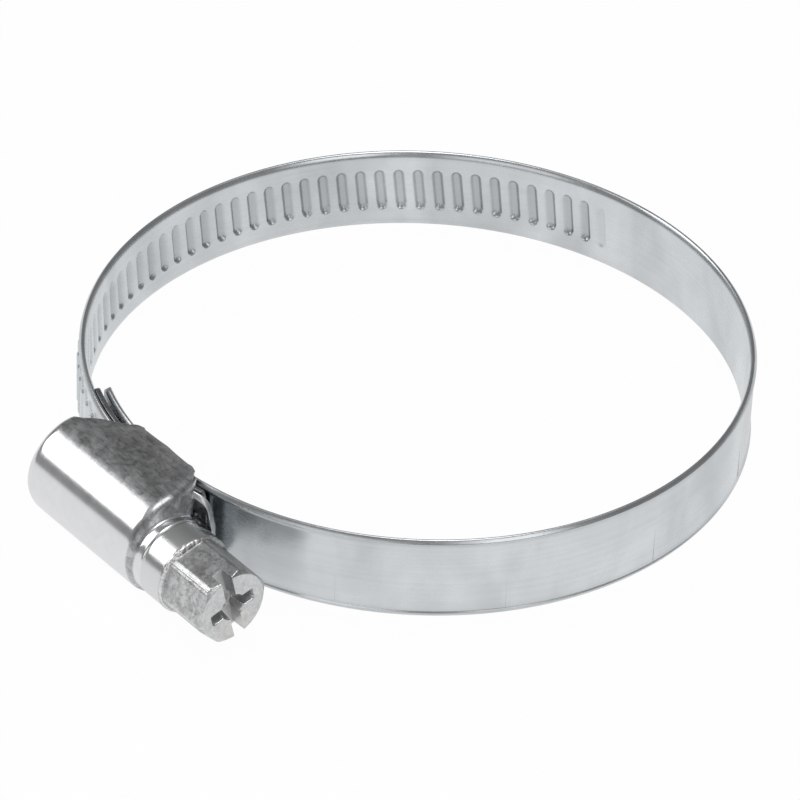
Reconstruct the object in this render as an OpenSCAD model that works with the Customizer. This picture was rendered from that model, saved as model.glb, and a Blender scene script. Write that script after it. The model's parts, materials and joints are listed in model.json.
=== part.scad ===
// Worm drive hose clamp: a slotted steel band whose ribbed end is drawn through a housing by a screw.
// The ring stands on the XY plane with its axis along +Z. The housing lies on -Y and the screw head
// points along +X. The band is one strip: its stiff lengths are hinged so that the ring can close.

/* [Band] */
// Inner diameter of the open ring, which is the bore that the hose fills
hose_d = 62; // [56:1:90]
// Width of the band
band_w = 9; // [7.5:0.5:12]
// Thickness of the band
band_t = 0.65; // [0.55:0.05:0.8]
// Width of the rolled rim along each edge
rim_w = 0.9; // [0.6:0.1:1.2]
// How far each rim's inner face turns outward
rim_rise = 0.45; // [0.3:0.05:0.5]
// Radius of the corners at both ends of the strip
corner_r = 1.8; // [0.5:0.1:3]

/* [Thread in the band] */
// Pitch of the screw, and of the ribs where they pass it
thread_pitch = 2; // [1.6:0.1:2.4]
// Number of pressed ribs
rib_count = 51; // [44:1:56]
// Length of one rib across the band
rib_l = 4.7; // [3.5:0.1:5.5]
// Width of one rib along the band
rib_w = 0.8; // [0.6:0.05:0.9]
// How far a rib stands out of the band
rib_rise = 0.45; // [0.35:0.05:0.5]
// Depth of the hollow behind each rib
rib_hollow = 0.3; // [0.1:0.05:0.35]

/* [Screw] */
// Outer radius of the screw thread
worm_r = 3.2; // [3.2:0.1:3.5]
// Depth of the screw thread
worm_depth = 0.8; // [0.7:0.05:0.9]
// Width of the thread at its crest
worm_crest = 0.45; // [0.35:0.05:0.5]
// Turns of thread on the screw
worm_turns = 5; // [4:0.5:5]
// Diameter of the collar between the housing and the head
collar_d = 8; // [7.4:0.1:8]
// Length of the collar
collar_l = 3; // [2:0.1:4]
// Width across the flats of the hexagon head
hex_af = 7; // [6:0.5:8]
// Length of the hexagon head
hex_l = 5.8; // [3.5:0.1:6.5]
// How far the head is turned round the screw in the open ring
head_turn = 77; // [0:1:180]
// Width of the slot and of the cross recess
slot_w = 1.1; // [0.8:0.1:1.4]
// Depth of the slot
slot_depth = 1.5; // [1:0.1:2.5]

/* [Housing] */
// Length of the housing from the middle of the saddle to its tail
tail_l = 9.6; // [8:0.2:10.4]
// Length of the housing from the middle of the saddle to the end of its neck
head_l = 8.2; // [7.6:0.1:9]
// Length of the drawn-in neck
neck_l = 1.9; // [1.6:0.1:2.2]
// Width of the housing across the band
housing_w = 10.8; // [10.6:0.1:12]
// Thickness of the housing sheet
sheet_t = 0.6; // [0.5:0.05:0.7]
// Length of the cheeks' feet beside the saddle plate
foot_l = 10; // [9:0.5:12]
// Thickness of the saddle plate under the band
saddle_t = 0.5; // [0.4:0.05:0.7]
// How far the free end of the open band stands out of the neck
free_l = 0.3; // [0:0.1:1]
// How far the saddle and the fixed band end reach past the tail of the housing
tongue_l = 3.6; // [3:0.2:6]

/* [Adjustment] */
// Screw turns from the open ring to the closed end of the modelled travel
travel_turns = 8; // [6:1:8]

/* [Hidden] */
$fn = 96;
cut = 1;

// clearances
layer_gap = 0.1;
shaft_gap = 0.05;
crest_gap = 0.15;
rib_gap = 0.25;
worm_side_gap = 0.2;
end_gap = 0.1;
knuckle_gap = 0.1;
knuckle_fit = 0.03;
seam = 0.003;

// band section and ring
hose_r = hose_d / 2;
ring_r = hose_r + band_t / 2;
flat_half = band_w / 2 - rim_w;
rim_r = (rim_w * rim_w + rim_rise * rim_rise) / (2 * rim_rise);
rim_angle = asin(rim_w / rim_r);
rim_steps = 3;
rim_edge = rim_r - (rim_r - band_t) * cos(rim_angle);
knuckle_r = band_t * 0.36;

// layers at the housing, from the hose outward: plain band, saddle plate, ribbed band
saddle_in = hose_r + rim_edge + layer_gap;
over_tongue = saddle_in + saddle_t + layer_gap + band_t / 2;
lug_angle = asin((foot_l / 2 - 1) / saddle_in);
lug_step = 0.05;
tail_angle = asin(tail_l / saddle_in);
head_angle = asin((head_l - neck_l) / saddle_in);
tongue_angle = tail_angle + deg_of(tongue_l, saddle_in);

// the ribbed side of the ring is one larger arc, which meets the ring opposite the housing
thread_leave = -270;
thread_shift = (over_tongue * over_tongue - ring_r * ring_r)
    / (2 * (ring_r - over_tongue * cos(-90 - tongue_angle - thread_leave)));
thread_r = ring_r + thread_shift;
thread_centre = along(thread_leave + 180, thread_shift);
thread_out = thread_r + band_t / 2;
pitch_r = thread_out + rib_rise / 2;
channel_r = thread_out + rib_rise + rib_gap;

// angles along the ribbed arc, falling from the free end
travel = travel_turns * thread_pitch;
free_angle = -90 + asin((head_l + free_l) / thread_r);
thread_end = -90 - tongue_angle - travel / pitch_r * 180 / PI;

// the whole strip as arcs about the Z direction: [centre, middle radius, first angle, last angle]
runs = [
    [thread_centre, thread_r, free_angle, thread_leave],
    [[0, 0], ring_r, thread_leave, -450 - tongue_angle]
];

// ribs, one of which lies where the screw is nearest
band_pitch = thread_pitch * thread_r / pitch_r;
rib_phase = arc_of(free_angle + 90, thread_r);
rib_start = rib_phase - band_pitch * floor((rib_phase - corner_r / 2) / band_pitch);
rib_slant = atan(thread_pitch / (2 * PI * (worm_r - worm_depth / 2)));
rib_r = rib_w / 2;

// stiff lengths of the ring, each a whole number of rib pitches long and divided half way between ribs
ribs_per_length = 8;
length_s = ribs_per_length * band_pitch;
thread_end_ribs = ceil((arc_of(free_angle - thread_end, thread_r) - rib_phase) / band_pitch - 0.5);
chain_s = rib_phase + (thread_end_ribs + 0.5) * band_pitch;
strip_s = run_length(0) + run_length(1);
fixed_s = arc_of(tongue_angle + head_angle + 4, ring_r);
length_count = floor((strip_s - fixed_s - chain_s) / length_s);

// screw along X
worm_y = thread_out + thread_shift + crest_gap + worm_r;
worm_root = worm_r - worm_depth;
worm_start = -thread_pitch * (floor(worm_turns / 2) + 0.5);
head_wall_x = head_l - neck_l;
tail_wall_x = sheet_t - tail_l;
collar_x = head_l + end_gap;
hex_x = collar_x + collar_l;
tip_r = worm_root * 0.8;
hex_corner_r = hex_af / 2 / cos(30);
thread_facets = 24;

// housing section across the screw
hood_r = housing_w / 2;
hood_rise = worm_r + worm_side_gap + sheet_t;
hood_y = worm_y + hood_rise - hood_r;
cheek_gap = hood_r - sheet_t;
foot_y = saddle_in - 1;
lip_r = hood_rise - 0.05;
shoulder_l = 1.1;

function length_name(i) = str("band_length_", i < 10 ? "0" : "", i);
function deg_of(arc, radius) = arc / radius * 180 / PI;
function arc_of(angle, radius) = angle * PI / 180 * radius;
function along(angle, radius) = [radius * cos(angle), radius * sin(angle)];
function run_length(i) = arc_of(runs[i][2] - runs[i][3], runs[i][1]);

// where the strip's middle line is after a length s: [centre of the arc, radius, angle]
function place(s, i = 0) =
    s <= run_length(i) || i == len(runs) - 1
        ? [runs[i][0], runs[i][1], runs[i][2] - deg_of(s, runs[i][1])]
        : place(s - run_length(i), i + 1);

// one rim of the section, from the flat to the edge, at a depth from the inner face
function rim_side(depth, side) = [
    for (i = [0:rim_steps])
    let (a = rim_angle * i / rim_steps)
    [rim_r - (rim_r - depth) * cos(a), side * (flat_half + (rim_r - depth) * sin(a))]
];
function backwards(points) = [for (i = [len(points) - 1:-1:0]) points[i]];

// section of the band: flat, with rims that turn outward, its inner face on the Y axis
module band_section() {
    polygon(concat(
        backwards(rim_side(0, -1)),
        rim_side(0, 1),
        backwards(rim_side(band_t, 1)),
        rim_side(band_t, -1)
    ));
}

// puts its children at a length s along the strip, X outward and Y back along the strip
module at_strip(s, height = 0) {
    spot = place(s);
    translate([spot[0][0], spot[0][1], 0])
    rotate([0, 0, spot[2]])
    translate([spot[1] + height, 0, 0])
    children();
}

// band between two lengths along the strip
module band_stretch(from_s, to_s) {
    starts = [0, run_length(0)];
    for (i = [0, 1]) {
        first = max(from_s, starts[i]);
        last = min(to_s, starts[i] + run_length(i) + (i == 0 ? seam : 0));
        if (last > first)
            band_arc(runs[i], first - starts[i], last - starts[i]);
    }
}

module band_arc(run, first, last) {
    translate([run[0][0], run[0][1], 0])
    rotate([0, 0, run[2] - deg_of(last, run[1])])
    rotate_extrude(angle = deg_of(last - first, run[1]))
    translate([run[1] - band_t / 2, 0])
    band_section();
}

// a slanted bar across the band, a height over its middle line
module bar_at(s, height, bar_r, bar_l) {
    at_strip(s, height)
    rotate([-rib_slant, 0, 0])
    rotate_extrude()
    polygon([
        [0, -bar_l / 2],
        [bar_r * 0.6, -bar_l / 2],
        [bar_r, -bar_l / 2 + bar_r * 0.8],
        [bar_r, bar_l / 2 - bar_r * 0.8],
        [bar_r * 0.6, bar_l / 2],
        [0, bar_l / 2]
    ]);
}

// adds the ribs between two lengths along the strip, each with its hollow
module ribbed(from_s, to_s) {
    all_places = [for (k = [0:rib_count - 1]) rib_start + k * band_pitch];
    places = [for (s = all_places) if (s > from_s && s < to_s) s];
    difference() {
        union() {
            children();
            for (s = places)
                bar_at(s, band_t / 2 + rib_rise - rib_r, rib_r, rib_l);
        }
        for (s = places)
            bar_at(s, rib_hollow - rib_r - band_t / 2, rib_r, rib_l - rib_w / 2);
    }
}

module knuckle_pin(s) {
    at_strip(s)
    cylinder(r = knuckle_r, h = 2 * flat_half, center = true);
}

module knuckle_socket(s) {
    at_strip(s)
    cylinder(r = knuckle_r + knuckle_fit, h = 2 * flat_half + 2 * knuckle_fit, center = true);
}

// keeps what lies under a long plan with rounded corners, whose end is square to the radius at this
// angle; the strip goes on from there to smaller angles when way is 1, and to larger when it is -1
module rounded_end(centre, angle, width, way) {
    reach = 2 * thread_r;
    intersection() {
        children();
        translate([centre[0], centre[1], 0])
        rotate([0, 0, angle])
        rotate([90, 0, 90])
        linear_extrude(height = reach)
        mirror([way > 0 ? 0 : 1, 0])
        translate([-reach, 0]) {
            translate([0, -width / 2]) square([reach - corner_r, width]);
            translate([0, corner_r - width / 2]) square([reach, width - 2 * corner_r]);
            for (side = [-1, 1])
                translate([reach - corner_r, side * (width / 2 - corner_r)])
                circle(corner_r);
        }
    }
}

// ribbed end of the strip, from its free edge through the housing to the first knuckle
module band_thread_end() {
    color([0.66, 0.68, 0.7])
    union() {
        ribbed(0, chain_s)
        rounded_end(thread_centre, free_angle, band_w, 1)
        band_stretch(0, chain_s - knuckle_gap / 2);
        knuckle_pin(chain_s);
    }
}

// one stiff length of the ring
module band_length(i) {
    first = chain_s + (i - 1) * length_s;
    last = first + length_s;
    color([0.7, 0.72, 0.74])
    union() {
        difference() {
            ribbed(first, last)
            band_stretch(first + knuckle_gap / 2, last - knuckle_gap / 2);
            knuckle_socket(first);
        }
        knuckle_pin(last);
    }
}

// plain end of the strip, which passes under the saddle plate and ends in the tongue
module band_fixed_end() {
    first = chain_s + length_count * length_s;
    color([0.7, 0.72, 0.74])
    difference() {
        rounded_end([0, 0], -90 - tongue_angle, band_w, -1)
        band_stretch(first + knuckle_gap / 2, strip_s);
        knuckle_socket(first);
    }
}

// plate between the two ends of the strip; its lugs fill the housing and its tongue backs the strip's
module saddle_plate() {
    color([0.62, 0.64, 0.66])
    union() {
        rounded_end([0, 0], -90 - tongue_angle, band_w, -1)
        rotate([0, 0, -90 - tongue_angle])
        rotate_extrude(angle = tongue_angle + head_angle)
        translate([saddle_in, -band_w / 2])
        square([saddle_t, band_w]);
        for (from_z = [-cheek_gap, band_w / 2 - 1])
            rotate([0, 0, -90 - lug_angle])
            rotate_extrude(angle = 2 * lug_angle)
            translate([saddle_in + lug_step, from_z])
            square([saddle_t - 2 * lug_step, cheek_gap - band_w / 2 + 1]);
    }
}

// D-shaped outline of the housing across the screw, grown or shrunk by a margin
module hood_outline(margin, foot) {
    translate([hood_y, 0]) circle(hood_r + margin);
    translate([foot, -hood_r - margin]) square([hood_y - foot, 2 * (hood_r + margin)]);
}

// turns an outline drawn in (distance from the ring's axis, Z) into a bar along X
module along_screw(first, last) {
    rotate([0, 0, -90])
    translate([0, last, 0])
    rotate([90, 0, 0])
    linear_extrude(height = last - first)
    children();
}

module screw_rod(radius, first, last) {
    translate([first, -worm_y, 0])
    rotate([0, 90, 0])
    cylinder(r = radius, h = last - first);
}

// turns points of (radius, X) about the screw
module screw_turned(points) {
    translate([0, -worm_y, 0])
    rotate([0, 90, 0])
    rotate_extrude()
    polygon(points);
}

// side view of the housing: the cheeks slant from both ends of the hood to a foot with round corners
module side_outline() {
    round_r = 1;
    mirror([0, 1])
    union() {
        polygon([
            [-tail_l, hood_y + hood_r + cut],
            [-tail_l, hood_y],
            [-foot_l / 2, foot_y + round_r],
            [round_r - foot_l / 2, foot_y],
            [foot_l / 2 - round_r, foot_y],
            [foot_l / 2, foot_y + round_r],
            [head_wall_x, hood_y],
            [head_wall_x, hood_y + hood_r + cut]
        ]);
        for (side = [-1, 1])
            translate([side * (foot_l / 2 - round_r), foot_y + round_r])
            circle(round_r);
    }
}

// shoulder that draws the hood in to a round neck behind the screw's collar
module neck() {
    intersection() {
        along_screw(head_wall_x - sheet_t, head_l) hood_outline(0, foot_y + 1);
        screw_turned([
            [0, head_wall_x - sheet_t],
            [hood_r + 1, head_wall_x - sheet_t],
            [hood_r + 1, head_wall_x],
            [hood_r, head_wall_x],
            [lip_r, head_wall_x + shoulder_l],
            [lip_r, head_l],
            [0, head_l]
        ]);
    }
}

// sheet hood over the screw, closed round it at both ends, with cheeks down beside the saddle plate
module housing_shell() {
    color([0.72, 0.74, 0.76])
    difference() {
        union() {
            intersection() {
                along_screw(-tail_l, head_wall_x) hood_outline(0, hose_r / 2);
                linear_extrude(height = housing_w, center = true) side_outline();
            }
            neck();
        }
        along_screw(tail_wall_x, head_wall_x - sheet_t) hood_outline(-sheet_t, 0);
        translate([thread_centre[0], thread_centre[1], -cheek_gap])
        cylinder(r = channel_r, h = 2 * cheek_gap);
        screw_rod(worm_root + shaft_gap, 0, head_l + cut);
        screw_rod(tip_r + shaft_gap, -tail_l - cut, 0);
    }
}

// a ring of four corners on the screw thread at an angle from the side of the band
function thread_ring(t) =
    let (
        rise = min(1, t / 90, (360 * worm_turns - t) / 90),
        crest = worm_root + worm_depth * rise,
        sunk = worm_root - 0.2,
        x = thread_pitch * t / 360 + worm_start,
        half_root = thread_pitch / 2 - 0.45,
        half_crest = worm_crest / 2 + (half_root - worm_crest / 2) * (1 - rise)
    )
    [for (c = [[-half_root, sunk], [-half_crest, crest], [half_crest, crest], [half_root, sunk]])
        [x + c[0], c[1] * cos(t), c[1] * sin(t)]];

module screw_thread() {
    count = worm_turns * thread_facets;
    corners = [for (i = [0:count]) each thread_ring(i * 360 / thread_facets)];
    sides = [for (i = [0:count - 1]) for (j = [0:3])
        let (a = 4 * i + j, b = 4 * i + (j + 1) % 4)
        each [[a, b, a + 4], [b, b + 4, a + 4]]];
    polyhedron(
        points = corners,
        faces = concat(sides, [[3, 2, 1, 0], [4 * count, 4 * count + 1, 4 * count + 2, 4 * count + 3]])
    );
}

// screw with its thread, collar and slotted hexagon head in one piece
module worm_screw() {
    color([0.78, 0.77, 0.73])
    difference() {
        union() {
            screw_rod(tip_r, -tail_l, tail_wall_x + 2 * end_gap);
            screw_rod(worm_root, tail_wall_x + end_gap, head_wall_x - end_gap);
            screw_rod(worm_root, head_wall_x - 2 * end_gap, collar_x + end_gap);
            screw_turned([
                [0, collar_x],
                [collar_d / 2 - 0.25, collar_x],
                [collar_d / 2, collar_x + 0.6],
                [collar_d / 2, hex_x],
                [0, hex_x]
            ]);
            hex_head();
            translate([0, -worm_y, 0]) screw_thread();
        }
        drive_recess();
    }
}

// hexagon with a chamfered end
module hex_head() {
    intersection() {
        translate([hex_x - end_gap, -worm_y, 0])
        rotate([-head_turn, 0, 0])
        rotate([0, 90, 0])
        cylinder(r = hex_corner_r, h = hex_l + 2 * end_gap, $fn = 6);
        screw_turned([
            [0, hex_x - end_gap],
            [hex_corner_r + 0.3, hex_x - end_gap],
            [hex_corner_r + 0.3, hex_x + hex_l - 0.9],
            [hex_corner_r - 0.6, hex_x + hex_l],
            [0, hex_x + hex_l]
        ]);
    }
}

// slot across the head, and a shorter cross recess square to it
module drive_recess() {
    for (half = [[hex_corner_r + cut, slot_w / 2, 0], [hex_af * 0.36, slot_w / 2, 90]])
        translate([hex_x + hex_l - slot_depth, -worm_y, 0])
        rotate([half[2] - head_turn, 0, 0])
        translate([0, -half[0], -half[1]])
        cube([slot_depth + cut, 2 * half[0], 2 * half[1]]);
}

housing_shell();
saddle_plate();
worm_screw();
band_thread_end();
for (i = [1:length_count])
    band_length(i);
band_fixed_end();
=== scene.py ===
"""Worm drive hose clamp in zinc plated steel: band, saddle plate, housing, screw, and the stage they lie on."""

import json
import math

import bmesh
import bpy
import numpy as np
from bpy.props import FloatProperty, FloatVectorProperty, IntProperty, PointerProperty
from mathutils import Matrix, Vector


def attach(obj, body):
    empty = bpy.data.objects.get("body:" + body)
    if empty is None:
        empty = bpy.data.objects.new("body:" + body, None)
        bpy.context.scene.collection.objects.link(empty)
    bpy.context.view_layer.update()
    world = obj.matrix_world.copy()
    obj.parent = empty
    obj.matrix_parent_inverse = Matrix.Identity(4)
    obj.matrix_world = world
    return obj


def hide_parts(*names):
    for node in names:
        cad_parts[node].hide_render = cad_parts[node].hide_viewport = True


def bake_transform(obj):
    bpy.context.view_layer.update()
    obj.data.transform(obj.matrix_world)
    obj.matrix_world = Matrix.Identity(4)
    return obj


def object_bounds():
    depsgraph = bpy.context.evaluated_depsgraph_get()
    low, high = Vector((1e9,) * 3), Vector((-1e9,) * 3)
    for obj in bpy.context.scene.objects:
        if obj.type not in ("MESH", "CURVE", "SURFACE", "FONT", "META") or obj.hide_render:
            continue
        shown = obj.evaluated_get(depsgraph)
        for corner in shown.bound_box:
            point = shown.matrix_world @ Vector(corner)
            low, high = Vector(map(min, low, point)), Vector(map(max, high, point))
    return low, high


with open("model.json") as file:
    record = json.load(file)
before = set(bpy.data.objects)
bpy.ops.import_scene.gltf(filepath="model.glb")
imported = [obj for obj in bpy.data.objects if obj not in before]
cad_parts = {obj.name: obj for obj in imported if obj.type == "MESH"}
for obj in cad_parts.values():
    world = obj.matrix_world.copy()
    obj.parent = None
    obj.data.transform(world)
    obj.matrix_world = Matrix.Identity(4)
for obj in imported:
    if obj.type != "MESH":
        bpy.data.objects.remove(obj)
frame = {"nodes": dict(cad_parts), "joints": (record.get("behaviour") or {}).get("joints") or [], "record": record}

bl_info = {
    "name": "Worm Drive Hose Clamp",
    "version": (1, 0, 0),
    "blender": (4, 5, 0),
    "location": "View3D > Sidebar > Hose Clamp",
    "description": "Builds a worm drive hose clamp piece by piece over its measured frame",
    "category": "Add Mesh",
}

CAD_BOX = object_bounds()
RECORD = frame["record"]
JOINTS = {joint["name"]: joint for joint in frame["joints"]}
MOUNTS = {mount["name"]: mount for mount in RECORD["mounts"]}
FLEX = sorted(name for name in JOINTS if name.startswith("flex_"))
MM = 0.001
BORE = MOUNTS["hose_bore"]["dims"]["r_mm"] * MM
SCREW_Y = -JOINTS["screw_turn"]["pos_m"][1]
SHIFT = -JOINTS["band_feed"]["pos_m"][1]

# Ribs on each stretch of the strip, and the height of the last one as a share of the others'.
RIBS_PER_STRETCH = 8
LAST_RIB_SHARE = 0.4
# Millimetres that a stretch runs on under its neighbour, and how deep it is sunk there.
LAP = 0.03
SINK = 0.05
# Millimetres between rows of the strip where it is ribbed and where it is plain, and between points across it.
RIBBED_STEP = 0.12
PLAIN_STEP = 0.3
ACROSS_STEP = 0.18
# Millimetres within which two lengths are one, and metres within which two points of a mesh are one.
SAME_LENGTH = 1e-6
SAME_PLACE = 2e-7
# Radius of the saddle plate's worn edges, in millimetres.
SADDLE_ROUND = 0.14
# The band's channel under the hood, in millimetres: its reach from the ring's axis, and half its width.
CHANNEL_TOP = 33.5
CHANNEL_HALF = 4.75


def length(name, default, description):
    """A size in metres for the sidebar."""
    return FloatProperty(name=name, description=description, default=default, unit="LENGTH", precision=5)


def degrees(name, default, description):
    """An angle for the sidebar, given in degrees."""
    return FloatProperty(name=name, description=description, default=math.radians(default), subtype="ANGLE")


def colour(name, default, description):
    """A surface colour for the sidebar."""
    return FloatVectorProperty(name=name, description=description, default=default, subtype="COLOR", min=0, max=1)


class BandSizes(bpy.types.PropertyGroup):
    width: length("Width", 9 * MM, "Width of the band over its rolled rims")
    thickness: length("Thickness", 0.65 * MM, "Thickness of the strip")
    rim_width: length("Rim width", 0.9 * MM, "Width of the rolled rim along each edge")
    rim_rise: length("Rim rise", 0.45 * MM, "How far the rim turns outward")
    edge_round: length("Edge round", 0.17 * MM, "Radius of the strip's worn edges")
    corner: length("Corner", 1.8 * MM, "Radius of the corners at the strip's plain end")
    free_corner: length("Free corner", 3.2 * MM, "Radius of the corners at the ribbed end")
    free_angle: degrees("Free end", 15.34, "Where the ribbed end stops past the screw")
    tongue_angle: degrees("Tongue", 23.95, "Where the inner tongue stops past the housing")
    rib_count: IntProperty(name="Ribs", description="Number of pressed ribs", default=51, min=1)
    rib_length: length("Rib length", 4.7 * MM, "Length of one rib across the band")
    rib_width: length("Rib width", 0.8 * MM, "Width of one rib along the band")
    rib_rise: length("Rib rise", 0.36 * MM, "How far a rib stands out of the band")
    rib_hollow: length("Rib hollow", 0.42 * MM, "Depth of the hollow behind a rib")
    rib_slant: degrees("Rib slant", 6.5, "Slant of the ribs")


class HousingSizes(bpy.types.PropertyGroup):
    sheet: length("Sheet", 0.6 * MM, "Thickness of the housing sheet")
    width: length("Width", 10.8 * MM, "Width of the housing across the band")
    rise: length("Rise", 4.0 * MM, "From the screw's axis to the top of the hood")
    tail: length("Tail", 9.6 * MM, "From the middle of the saddle to the tail")
    shoulder: length("Shoulder", 6.3 * MM, "From the middle of the saddle to where the hood draws in")
    head: length("Head", 8.2 * MM, "From the middle of the saddle to the end of the neck")
    foot: length("Foot", 10 * MM, "Length of the cheeks' feet")
    foot_height: length("Foot height", 30.94 * MM, "Distance of the feet from the ring's axis")
    saddle_height: length("Saddle height", 31.94 * MM, "Inner radius of the saddle plate")
    saddle_thickness: length("Saddle thickness", 0.5 * MM, "Thickness of the saddle plate")


class ScrewSizes(bpy.types.PropertyGroup):
    thread: length("Thread", 3.2 * MM, "Outer radius of the thread")
    depth: length("Thread depth", 0.8 * MM, "Depth of the thread")
    pitch: length("Pitch", 2 * MM, "Advance of the thread in one turn")
    collar: length("Collar", 4 * MM, "Radius of the collar")
    collar_start: length("Collar start", 8.3 * MM, "From the middle of the saddle to the collar")
    collar_length: length("Collar length", 3 * MM, "Length of the collar")
    across_flats: length("Across flats", 7 * MM, "Width of the hexagon across its flats")
    head_length: length("Head length", 5.8 * MM, "Length of the hexagon")
    head_turn: degrees("Head turn", 77, "How far the head is turned")
    slot_width: length("Slot width", 1.1 * MM, "Width of the slot")
    slot_depth: length("Slot depth", 1.5 * MM, "Depth of the slot")


class Finishes(bpy.types.PropertyGroup):
    strip: colour("Strip", (0.735, 0.765, 0.785), "Zinc on the rolled strip")
    hood: colour("Hood", (0.77, 0.78, 0.79), "Zinc on the pressed housing")
    # Set darker than the hood's zinc: painted shade for the plate under the housing.
    saddle: colour("Saddle", (0.50, 0.51, 0.52), "Zinc on the saddle plate")
    screw: colour("Screw", (0.72, 0.73, 0.735), "Zinc on the headed screw")
    floor: colour("Floor", (0.92, 0.92, 0.92), "Pale studio floor")


# ---------------------------------------------------------------------------------------------- shader writing


class Value:
    """A shader socket that adds Math nodes when it is used in an expression."""

    def __init__(self, finish, socket):
        self.finish, self.socket = finish, socket

    def maths(self, operation, first, second=0.0, clamp=False):
        settings = {"operation": operation, "use_clamp": clamp}
        return self.finish.node("ShaderNodeMath", settings, {0: first, 1: second})

    def __add__(self, other):
        return self.maths("ADD", self, other)

    def __radd__(self, other):
        return self.maths("ADD", other, self)

    def __sub__(self, other):
        return self.maths("SUBTRACT", self, other)

    def __rsub__(self, other):
        return self.maths("SUBTRACT", other, self)

    def __mul__(self, other):
        return self.maths("MULTIPLY", self, other)

    def __rmul__(self, other):
        return self.maths("MULTIPLY", other, self)

    def limited(self):
        """The value kept between 0 and 1."""
        return self.maths("ADD", self, 0.0, clamp=True)


class Finish:
    """A material under construction, with one method for every kind of node."""

    def __init__(self, name):
        self.material = bpy.data.materials.new(name)
        self.material.use_nodes = True
        self.tree = self.material.node_tree
        self.shader = self.tree.nodes["Principled BSDF"]

    def node(self, kind, settings=None, inputs=None, output=0):
        """Adds a node: its settings first, then values or links for its sockets."""
        made = self.tree.nodes.new(kind)
        for key, value in (settings or {}).items():
            if key == "stops":
                ramp = made.color_ramp.elements
                for _ in range(len(value) - len(ramp)):
                    ramp.new(0.5)
                for element, (place, tone) in zip(ramp, value):
                    element.position, element.color = place, (tone, tone, tone, 1)
            else:
                setattr(made, key, value)
        for key, value in (inputs or {}).items():
            self.feed(made.inputs[key], value)
        return Value(self, made.outputs[output])

    def feed(self, socket, value):
        if isinstance(value, Value):
            self.tree.links.new(value.socket, socket)
        elif isinstance(value, tuple) and len(value) == 3 and socket.type == "RGBA":
            socket.default_value = (*value, 1)
        else:
            socket.default_value = value

    def set(self, **values):
        for key, value in values.items():
            self.feed(self.shader.inputs[key.replace("_", " ")], value)
        return self.material

    def place(self, stretch=(1, 1, 1), turn=(0, 0, 0), kind="Object"):
        """Coordinates in metres, stretched and turned."""
        where = self.tree.nodes.new("ShaderNodeTexCoord").outputs[kind]
        return self.node("ShaderNodeMapping", {}, {"Vector": Value(self, where), "Scale": stretch, "Rotation": turn})

    def noise(self, where, scale, detail=4.0, roughness=0.5, distortion=0.0):
        return self.node(
            "ShaderNodeTexNoise",
            {},
            {"Vector": where, "Scale": scale, "Detail": detail, "Roughness": roughness, "Distortion": distortion},
        )

    def ramp(self, value, *stops):
        return self.node("ShaderNodeValToRGB", {"stops": stops}, {"Fac": value})

    def mix(self, share, first, second, blend="MIX"):
        made = self.tree.nodes.new("ShaderNodeMix")
        made.data_type, made.blend_type = "RGBA", blend
        for key, value in ((0, share), (6, first), (7, second)):
            self.feed(made.inputs[key], value)
        return Value(self, made.outputs[2])

    def attribute(self, name):
        return self.node("ShaderNodeAttribute", {"attribute_name": name}, {}, "Fac")

    def bump(self, height, strength, distance):
        return self.node("ShaderNodeBump", {}, {"Height": height, "Strength": strength, "Distance": distance})

    def multiply(self, first, second):
        return self.mix(1.0, first, second, "MULTIPLY")


def shade(base, share):
    """A colour made darker or lighter in proportion."""
    return tuple(min(1.0, channel * share) for channel in base)


def zinc_strip(base):
    """Rolled strip: fine lines along the band, soft cloudy patches, rougher rib hollows darkened by painted shade,
    darker cut edges, and a painted dark line along each rim's bend.
    """
    f = Finish("zinc_strip")
    lines = f.noise(f.place((60, 2600, 1), kind="UV"), 1.0, 3.0, 0.6)
    cloud = f.noise(f.place(), 170.0, 5.0, 0.55, 0.6)
    grain = f.noise(f.place(), 1500.0, 3.0, 0.7)
    hollow = f.attribute("hollow")
    edge = f.attribute("edge")
    drift = f.noise(f.place((1, 1, 0.45)), 95.0, 2.0, 0.5, 0.8)
    patches = f.multiply(f.ramp(cloud, (0.32, 0.88), (0.66, 1.0)), f.ramp(drift, (0.36, 0.84), (0.62, 1.0)))
    tone = f.multiply(patches, f.ramp(lines, (0.3, 0.95), (0.62, 1.0)))
    metal = f.multiply(tuple(base), tone)
    # Painted shade: the rib hollows on the inner face are darkened, as if in shadow.
    metal = f.mix(hollow * 0.36, metal, shade(base, 0.42))
    # Darker by the edge mark: at the cut edges, and in a thin line at each rim's bend on the outer face, which is
    # painted shade.
    metal = f.mix(edge * 0.3, metal, shade(base, 0.6))
    height = lines * 0.1 + grain * 0.15 + cloud * 0.3 + drift * 3.0
    return f.set(
        Base_Color=metal,
        Metallic=1.0,
        Roughness=(0.17 + cloud * 0.14 + hollow * 0.12 + lines * 0.05).limited(),
        Normal=f.bump(height, 0.3, 0.00008),
    )


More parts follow.
